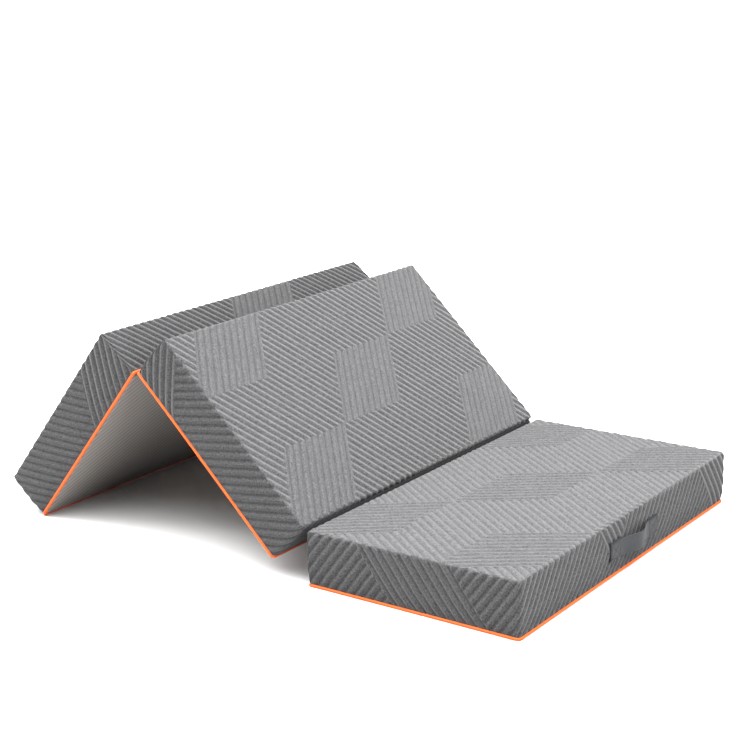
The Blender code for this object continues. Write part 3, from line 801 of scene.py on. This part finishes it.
def build_hinge_sheet(name, pivot, path, material, node):
    """A strip of cloth over a fold, bent between two panels: a thin section carried along y.

    The section follows three places: the mean of the straight lines between them and of the
    parabola through them.
    """
    steps = np.linspace(0, 1, FOLD_STEPS)[:, None]
    a, b, c = (np.array(point) for point in path)
    curve = (1 - steps) ** 2 * a + 2 * steps * (1 - steps) * (2 * b - (a + c) / 2) + steps ** 2 * c
    straight = np.where(steps < 0.5, a + (b - a) * 2 * steps, b + (c - b) * (2 * steps - 1))
    line = (curve + straight) / 2
    way = np.gradient(line, axis=0)
    square = np.stack((-way[:, 1], way[:, 0]), axis=-1) / np.linalg.norm(way, axis=1)[:, None]
    section = np.vstack((line + square * FOLD_CLOTH / 2, (line - square * FOLD_CLOTH / 2)[::-1]))
    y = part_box("front_side_band")[0][1] + np.linspace(CORNER, WIDTH - CORNER, FOLD_ROWS)
    points = np.broadcast_arrays(pivot[0] + section[:, 0], y[:, None], pivot[2] + section[:, 1])
    piece = new_tubes(name, np.stack(points, axis=-1))
    piece.data.materials.append(material)
    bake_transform(piece)
    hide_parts(node)


def turned(x, z, angle):
    """The point (x, z) turned about the y axis."""
    return x * math.cos(angle) + z * math.sin(angle), z * math.cos(angle) - x * math.sin(angle)


def build_hinges(cloth):
    """The cloths over both folds. The front one lies down in the crease between the two top edges."""
    front_axis, rear_axis = joints["front_fold"]["pos_m"], joints["rear_fold"]["pos_m"]
    front_turn = math.radians(-joints["front_fold"]["range_deg"][0])
    rear_turn = math.radians(joints["rear_fold"]["range_deg"][1])
    edge, drop = HALF_GAP + TOP_DRAW, EDGE_HEIGHT - EDGE_RADIUS - front_axis[2]
    bottom = (-FOLD_DEPTH * math.sin(front_turn / 2), -FOLD_DEPTH * math.cos(front_turn / 2))
    build_hinge_sheet("front_fold_cloth", front_axis, [(edge, drop), bottom, turned(-edge, drop, front_turn)],
                      cloth, "front_hinge_web")
    near, far = turned(FOLD_REACH, 0, front_turn), turned(-FOLD_REACH, 0, front_turn - rear_turn)
    build_hinge_sheet("rear_fold_cloth", rear_axis, [near, (0, 0), far],
                      cloth, "rear_hinge_tape")


def build_zip(side, place, tape_cloth, teeth_material, metal):
    """Tape and coil of a zip in the far side of the band, and the finish of its slider and pull."""
    low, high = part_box(side + "_zip_tape")
    deep = high[1] - low[1]
    back = WIDTH - (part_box("front_side_band")[1][1] - high[1]) - deep
    tape = new_tubes(side + "_zip_cloth", placed(tape_rings(back), place), inside_out=True)
    finish_piece(tape, tape_cloth, side + "_panel", [side + "_zip_tape"])
    coil = new_tubes(side + "_zip_coil", placed(coil_rings(back + ZIP_TAPE, deep - ZIP_TAPE), place))
    finish_piece(coil, teeth_material, side + "_panel")
    for node in ("_zip_slider", "_zip_pull"):
        finish_metal(frame["nodes"][side + node], metal)


def tape_rings(back):
    """Sections of the zip's tape: a flat strip with a bell-shaped welt on each side of the coil."""
    heights = WIDEST + np.linspace(-ZIP_TAPE_HEIGHT, ZIP_TAPE_HEIGHT, ZIP_TAPE_ROWS) / 2
    x = (LENGTH + np.linspace(-ZIP_LENGTH, ZIP_LENGTH, ZIP_TAPE_STEPS)) / 2
    face = back + ZIP_TAPE + ZIP_WELT * np.exp(-((np.abs(heights - WIDEST) - WELT_PLACE) / WELT_WIDTH) ** 2)
    loop_y = np.concatenate((face, np.full(len(heights) - 2, back)))
    loop_z = np.concatenate((heights, heights[::-1][1:-1]))
    return np.stack(np.broadcast_arrays(x[:, None], loop_y, loop_z), axis=-1)


def coil_rings(face, crest):
    """Rings of the zip's teeth: each is a slanted arch of round thread, half an ellipse over the tape."""
    count = int(ZIP_LENGTH / TOOTH_PITCH) - 2
    starts = (LENGTH - ZIP_LENGTH) / 2 + TOOTH_PITCH * (np.arange(count) + 1)
    turn = np.linspace(0, math.pi, 7)
    path = np.stack((TOOTH_PITCH / 2 * np.cos(turn), face + (crest - TOOTH_RADIUS) * np.sin(turn),
                     TOOTH_REACH * np.cos(turn)), axis=-1)
    way = np.gradient(path, axis=0)
    way = way / np.linalg.norm(way, axis=1)[:, None]
    side_way = np.cross(way, (1, 0, 0))
    side_way = side_way / np.linalg.norm(side_way, axis=1)[:, None]
    other = np.cross(side_way, way)
    around = (np.arange(6) / 6 * 2 * math.pi)[None, :, None]
    ring = np.cos(around) * side_way[:, None, :] + np.sin(around) * other[:, None, :]
    tooth = path[:, None, :] + TOOTH_RADIUS * ring
    return tooth + np.stack((starts, np.zeros(count), np.full(count, WIDEST)), axis=-1)[:, None, None, :]


def finish_metal(thing, metal):
    """Gives a solid its metal, joins its loose triangles and rounds its edges."""
    thing.data.materials.clear()
    thing.data.materials.append(metal)
    weld = thing.modifiers.new("weld", "WELD")
    weld.merge_threshold = WELD_REACH
    edges = thing.modifiers.new("edges", "BEVEL")
    edges.width = METAL_EDGE
    edges.segments = 2
    edges.limit_method = "ANGLE"
    edges.angle_limit = math.radians(METAL_EDGE_ANGLE)


class Nodes:
    """Short ways to lay and join shader nodes. Colours are given as red, green and blue."""

    def __init__(self, tree):
        self.tree = tree

    def add(self, kind, **settings):
        node = self.tree.nodes.new(kind)
        for key, value in settings.items():
            setattr(node, key, value)
        return node

    def put(self, socket, value):
        if isinstance(value, bpy.types.NodeSocket):
            self.tree.links.new(value, socket)
        elif isinstance(value, tuple):
            socket.default_value = (*value, 1.0)
        elif value is not None:
            socket.default_value = value

    def fill(self, node, **inputs):
        """Sets inputs of a node, whose names have _ for each space."""
        for name, value in inputs.items():
            self.put(node.inputs[name.replace("_", " ")], value)
        return node

    def group(self, group, **inputs):
        return self.fill(self.add("ShaderNodeGroup", node_tree=group), **inputs).outputs

    def math(self, operation, a, b=None, c=None):
        node = self.add("ShaderNodeMath", operation=operation)
        for k, value in enumerate((a, b, c)):
            self.put(node.inputs[k], value)
        return node.outputs[0]

    def mix(self, share, a, b):
        node = self.add("ShaderNodeMix", data_type="RGBA")
        for k, value in (("Factor", share), (6, a), (7, b)):
            self.put(node.inputs[k], value)
        return node.outputs[2]

    def noise(self, vector, scale, detail=2.0, roughness=0.5):
        node = self.add("ShaderNodeTexNoise")
        return self.fill(node, Vector=vector, Scale=scale, Detail=detail, Roughness=roughness).outputs["Fac"]

    def ramp(self, value, low, high, out_low=0.0, out_high=1.0):
        node = self.fill(self.add("ShaderNodeMapRange"), Value=value, From_Min=low, From_Max=high,
                         To_Min=out_low, To_Max=out_high)
        return node.outputs["Result"]

    def split(self, vector):
        node = self.add("ShaderNodeSeparateXYZ")
        self.put(node.inputs[0], vector)
        return node.outputs

    def object_place(self):
        """The place on the object, in metres."""
        return self.add("ShaderNodeTexCoord").outputs["Object"]

    def map_place(self):
        """The place on the piece's own map."""
        return self.add("ShaderNodeUVMap", uv_map="UVMap").outputs["UV"]


def new_group(name, inputs, outputs):
    """A node group with its sockets, ways to lay its nodes, and what comes in and goes out."""
    group = bpy.data.node_groups.new(name, "ShaderNodeTree")
    for label, kind in inputs.items():
        group.interface.new_socket(label, in_out="INPUT", socket_type="NodeSocket" + kind)
    for label in outputs:
        group.interface.new_socket(label, in_out="OUTPUT", socket_type="NodeSocketFloat")
    nodes = Nodes(group)
    return group, nodes, nodes.add("NodeGroupInput").outputs, nodes.add("NodeGroupOutput").inputs


def stitch_group():
    """Knit stitches from a place in metres: small uneven cells.

    Loops is the height of the stitches and Flecks the light yarn ends.
    """
    group, nodes, come, go = new_group("knit_stitches", {"Place": "Vector", "Size": "Float"},
                                       ("Loops", "Flecks"))
    scaled = nodes.add("ShaderNodeVectorMath", operation="SCALE")
    nodes.put(scaled.inputs[0], come["Place"])
    nodes.put(scaled.inputs["Scale"], nodes.math("DIVIDE", 1.0, come["Size"]))
    place = scaled.outputs[0]
    cells = nodes.add("ShaderNodeTexVoronoi", feature="SMOOTH_F1")
    nodes.fill(cells, Vector=place, Scale=1.0, Smoothness=0.6)
    fine = nodes.noise(place, 0.9, 3.0, 0.65)
    nodes.put(go["Loops"], nodes.math("MULTIPLY_ADD", cells.outputs["Distance"], -0.7, fine))
    nodes.put(go["Flecks"], nodes.ramp(nodes.noise(place, 0.55, 4.0, 0.7), 0.36, 0.66))
    return group


def weave_group():
    """Over and under of a plain weave on a map in metres, as a product of two waves."""
    group, nodes, come, go = new_group(
        "woven_threads", {"Place": "Vector", "Along": "Float", "Across": "Float"}, ("Threads",))
    parts = nodes.split(come["Place"])
    turns = [nodes.math("DIVIDE", parts[axis], come[pitch])
             for axis, pitch in (("X", "Along"), ("Y", "Across"))]
    waves = [nodes.math("SINE", nodes.math("MULTIPLY", turn, 2 * math.pi)) for turn in turns]
    nodes.put(go["Threads"], nodes.ramp(nodes.math("MULTIPLY", *waves), -1.0, 1.0))
    return group


def new_material(name):
    """A material with an empty node tree around one Principled shader."""
    made = bpy.data.materials.new(name)
    made.use_nodes = True
    nodes = Nodes(made.node_tree)
    return made, nodes, made.node_tree.nodes["Principled BSDF"]


def bump(nodes, shader, height, strength, distance):
    """Feeds a height into the shader's normal."""
    node = nodes.fill(nodes.add("ShaderNodeBump"), Strength=strength, Distance=distance, Height=height)
    nodes.put(shader.inputs["Normal"], node.outputs["Normal"])


def rib_group():
    """The ribs of the knit, from the counts of ribs both ways and the zones' border.

    Groove is a bell curve over the grooves between ribs, used to paint shade into them, Ridge the wave of the
    ribs and Wales the fine lines of stitches that run along them. All are mixed over the border.
    """
    labels = ("Groove", "Ridge", "Wales")
    group, nodes, come, go = new_group("knit_ribs", {"Counts": "Vector", "Border": "Float"}, labels)
    parts = nodes.split(come["Counts"])
    inside = nodes.ramp(come["Border"], -CROSSING / 3, CROSSING / 3)
    both = []
    for axis in ("X", "Y"):
        share = nodes.math("SUBTRACT", nodes.math("FRACT", parts[axis]), 0.5)
        square = nodes.math("POWER", nodes.math("DIVIDE", share, GROOVE_WIDTH), 2.0)
        waves = [nodes.math("COSINE", nodes.math("MULTIPLY", parts[axis], 2 * math.pi * often))
                 for often in (1, WALES)]
        both.append([nodes.math("EXPONENT", nodes.math("MULTIPLY", square, -1.0))] + waves)
    for label, first, other in zip(labels, *both):
        nodes.put(go[label], nodes.math("MULTIPLY_ADD", nodes.math("SUBTRACT", first, other), inside, other))
    return group


def knit_material(stitches, ribs, name, tone, shade):
    """Grey ribbed knit: shade painted into the grooves darkens them a little, it is flecked with lighter yarn
    and has a soft sheen. A tone below 1 paints the whole knit darker, as shade.
    """
    made, nodes, shader = new_material(name)
    stitch = nodes.group(stitches, Place=nodes.object_place(), Size=KNIT_STITCH)
    border = nodes.add("ShaderNodeAttribute", attribute_name="border").outputs["Fac"]
    rib = nodes.group(ribs, Counts=nodes.map_place(), Border=border)
    # Yarn colours scaled by tone: below 1 this paints the knit darker, as shade
    dark, light, groove_shade = (tuple(part * tone for part in yarn)
                           for yarn in (YARN_DARK, YARN_LIGHT, GROOVE_SHADE_COLOUR))
    yarn = nodes.mix(stitch["Flecks"], dark, light)
    height = nodes.math("MULTIPLY", rib["Wales"], WALE_SHARE)
    height = nodes.math("MULTIPLY_ADD", stitch["Loops"], LOOP_SHARE, height)
    height = nodes.math("MULTIPLY_ADD", rib["Ridge"], RIDGE_SHARE, height)
    # Base colour: the yarn, pulled towards the groove colour in the grooves as painted shade
    nodes.fill(shader, Base_Color=nodes.mix(nodes.math("MULTIPLY", rib["Groove"], shade), yarn, groove_shade),
               Roughness=nodes.ramp(stitch["Flecks"], 0.0, 1.0, 0.95, 0.8), Specular_IOR_Level=0.04,
               Sheen_Weight=0.12, Sheen_Roughness=0.45, Sheen_Tint=(1.0, 1.0, 1.0))
    bump(nodes, shader, height, 1.0, KNIT_RELIEF)
    return made


def base_material(stitches):
    """Warm grey cloth with thin dark slanted lines."""
    made, nodes, shader = new_material("base_twill")
    stitch = nodes.group(stitches, Place=nodes.object_place(), Size=BASE_STITCH)
    parts = nodes.split(nodes.map_place())
    turn = nodes.math("DIVIDE", nodes.math("SUBTRACT", parts["X"], parts["Y"]), QUILT_PITCH)
    share = nodes.math("ABSOLUTE", nodes.math("SUBTRACT", nodes.math("FRACT", turn), 0.5))
    line = nodes.ramp(share, *QUILT_LINE_SHARES, 1.0, 0.0)
    cloth = nodes.mix(stitch["Flecks"], (0.128, 0.117, 0.106), (0.164, 0.150, 0.136))
    lined = nodes.mix(nodes.math("MULTIPLY", line, 0.9), cloth, (0.046, 0.030, 0.024))
    nodes.fill(shader, Base_Color=lined, Roughness=0.9, Sheen_Weight=0.1)
    bump(nodes, shader, nodes.math("SUBTRACT", stitch["Loops"], line), 0.5, CLOTH_RELIEF)
    return made


def piping_material(weave):
    """Orange bias-cut cloth round a cord."""
    made, nodes, shader = new_material("orange_piping")
    bias = nodes.add("ShaderNodeMapping")
    bias.inputs["Rotation"].default_value = (0, 0, math.radians(45))
    nodes.put(bias.inputs["Vector"], nodes.map_place())
    threads = nodes.group(weave, Place=bias.outputs[0], Along=CORD_THREAD, Across=CORD_THREAD)["Threads"]
    nodes.fill(shader, Base_Color=nodes.mix(threads, (0.66, 0.075, 0.004), (0.78, 0.110, 0.011)),
               Roughness=0.6, Specular_IOR_Level=0.25, Sheen_Weight=0.05)
    bump(nodes, shader, threads, 0.35, CORD_RELIEF)
    return made


def webbing_material(weave):
    """Dark grey webbing of fine cords, in slowly changing tones."""
    made, nodes, shader = new_material("grey_webbing")
    along, across = WEBBING_THREADS
    threads = nodes.group(weave, Place=nodes.map_place(), Along=along, Across=across)["Threads"]
    slow = nodes.noise(nodes.object_place(), 40.0, 2.0)
    cords = nodes.mix(threads, (0.015, 0.016, 0.0178), (0.026, 0.0272, 0.0300))
    tone = nodes.mix(nodes.math("MULTIPLY", slow, 0.3), cords, (0.032, 0.0333, 0.0360))
    nodes.fill(shader, Base_Color=tone, Roughness=nodes.ramp(threads, 0.0, 1.0, 0.75, 0.55),
               Specular_IOR_Level=0.2, Sheen_Weight=0.03)
    bump(nodes, shader, threads, 0.6, WEBBING_RELIEF)
    return made


def plain_cloth(stitches, name, size, dark, light, sheen=0.1):
    """A cloth or foam of two tones in small cells."""
    made, nodes, shader = new_material(name)
    stitch = nodes.group(stitches, Place=nodes.object_place(), Size=size)
    nodes.fill(shader, Base_Color=nodes.mix(stitch["Flecks"], dark, light), Roughness=0.9, Sheen_Weight=sheen)
    bump(nodes, shader, stitch["Loops"], 0.5, CLOTH_RELIEF)
    return made


def metal_material():
    """Dark plated metal, brighter where it is rubbed."""
    made, nodes, shader = new_material("dark_plating")
    rubbed = nodes.noise(nodes.object_place(), 900.0, 3.0, 0.6)
    tone = nodes.mix(nodes.ramp(rubbed, 0.45, 0.7), (0.16, 0.16, 0.17), (0.34, 0.34, 0.35))
    nodes.fill(shader, Base_Color=tone, Metallic=1.0, Roughness=nodes.ramp(rubbed, 0.3, 0.7, 0.42, 0.28))
    return made


def floor_material():
    """Plain pale floor."""
    made, nodes, shader = new_material("pale_floor")
    nodes.fill(shader, Base_Color=(0.60, 0.60, 0.60), Roughness=0.9, Specular_IOR_Level=0.1)
    return made


# Studio: the floor's half width, the sky's strength and each lamp's strength, width of its source in
# degrees and direction towards it
FLOOR_HALF = 90.0
SKY = 0.2
LAMPS = (("overhead", 12.2, 90, (0, 0, 1)), ("left", 6.2, 60, (-0.6, -0.06, 0.8)),
         ("right", 3.3, 40, (0.98, 0, 0.2)))

# Camera: turn, rise and roll in degrees, target from the front panel's near corner, distance in metres
# and lens and sensor in millimetres, found from the panels' edges in the photograph
CAMERA_ANGLES = (35.2837, 15.148, -0.8544)
CAMERA_TARGET = (-0.558, 1.1124, 0.2353)
CAMERA_DISTANCE = 5.4117
CAMERA_LENS, CAMERA_SENSOR = 78.964, 36.0
CAMERA_REACH = 300.0


def build_stage():
    """Floor, light and camera."""
    corners = np.array(((-1, -1, 0), (1, -1, 0), (1, 1, 0), (-1, 1, 0)))
    floor = new_mesh("floor", FLOOR_HALF * corners, [(0, 1, 2, 3)])
    floor.data.materials.append(floor_material())

    world = bpy.data.worlds.new("studio")
    bpy.context.scene.world = world
    world.use_nodes = True
    Nodes(world.node_tree).fill(world.node_tree.nodes["Background"], Color=(1.0, 1.0, 1.0), Strength=SKY)
    for name, strength, spread, towards in LAMPS:
        lamp = bpy.data.lights.new(name, "SUN")
        lamp.energy = strength
        lamp.angle = math.radians(spread)
        light = bpy.data.objects.new(name, lamp)
        light.rotation_euler = Vector(towards).to_track_quat("Z", "Y").to_euler()
        bpy.context.scene.collection.objects.link(light)
    build_camera()
    bpy.context.scene.view_settings.view_transform = "Standard"


def build_camera():
    """The camera at the photograph's angle, from its turn, rise and roll about its target."""
    turn, rise, roll = (math.radians(angle) for angle in CAMERA_ANGLES)
    right = np.array((math.cos(turn), math.sin(turn), 0))
    back = np.array((math.sin(turn) * math.cos(rise), -math.cos(turn) * math.cos(rise), math.sin(rise)))
    up = np.cross(back, right)
    right, up = (math.cos(roll) * right + math.sin(roll) * up, -math.sin(roll) * right + math.cos(roll) * up)
    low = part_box("front_side_band")[0]
    place = np.array(CAMERA_TARGET) + back * CAMERA_DISTANCE + np.array((low[0], low[1], 0))
    camera_data = bpy.data.cameras.new("camera")
    camera_data.lens = CAMERA_LENS
    camera_data.sensor_width = CAMERA_SENSOR
    camera_data.clip_end = CAMERA_REACH
    camera = bpy.data.objects.new("camera", camera_data)
    bpy.context.scene.collection.objects.link(camera)
    matrix = np.eye(4)
    matrix[:3] = np.column_stack((right, up, back, place))
    camera.matrix_world = Matrix(matrix.tolist())
    bpy.context.scene.camera = camera


build_stage()
places = panel_places()
stitches, weave, ribs = stitch_group(), weave_group(), rib_group()
top_knit = knit_material(stitches, ribs, "ribbed_top_knit", 1.0, GROOVE_SHADE)
# The same knit as the top, painted darker as shade on the bands, with stronger painted shade in the grooves
shaded_band_knit = knit_material(stitches, ribs, "ribbed_band_knit_shaded", BAND_SHADE_TONE, BAND_GROOVE_SHADE)
base_cloth = base_material(stitches)
piping = piping_material(weave)
webbing = webbing_material(weave)
metal = metal_material()
liner_cloth = plain_cloth(stitches, "liner_weave", 0.8 * MM, (0.70, 0.69, 0.66), (0.82, 0.81, 0.78))
foams = (plain_cloth(stitches, "soft_foam", 1.4 * MM, (0.66, 0.62, 0.50), (0.80, 0.77, 0.68), 0.0),
         plain_cloth(stitches, "firm_foam", 1.6 * MM, (0.50, 0.55, 0.60), (0.66, 0.70, 0.74), 0.0))
# The cloth over the folds is near black: its colour paints the shade down in the crease between the panels
fold_cloth = plain_cloth(stitches, "fold_weave_painted_shade", 0.9 * MM, (0.008, 0.008, 0.009), (0.016, 0.016, 0.018), 0.0)
zip_cloth = plain_cloth(stitches, "zip_tape_weave", 0.8 * MM, (0.040, 0.040, 0.043), (0.075, 0.075, 0.080))
zip_teeth = plain_cloth(stitches, "zip_nylon", 2 * MM, (0.050, 0.050, 0.053), (0.080, 0.080, 0.085), 0.0)
thread = plain_cloth(stitches, "grey_thread", 0.6 * MM, (0.012, 0.0125, 0.0135), (0.022, 0.023, 0.025))

for side in SIDES:
    place = places[side]
    build_cover_top(side, place, top_knit)
    build_cover_band(side, place, shaded_band_knit)
    build_piping(side, place, piping)
    build_base_cloth(side, place, base_cloth)
    build_foams(side, place, foams)
    build_liner(side, place, liner_cloth)
    build_zip(side, place, zip_cloth, zip_teeth, metal)
build_handle(places["front"], webbing, thread)
build_hinges(fold_cloth)
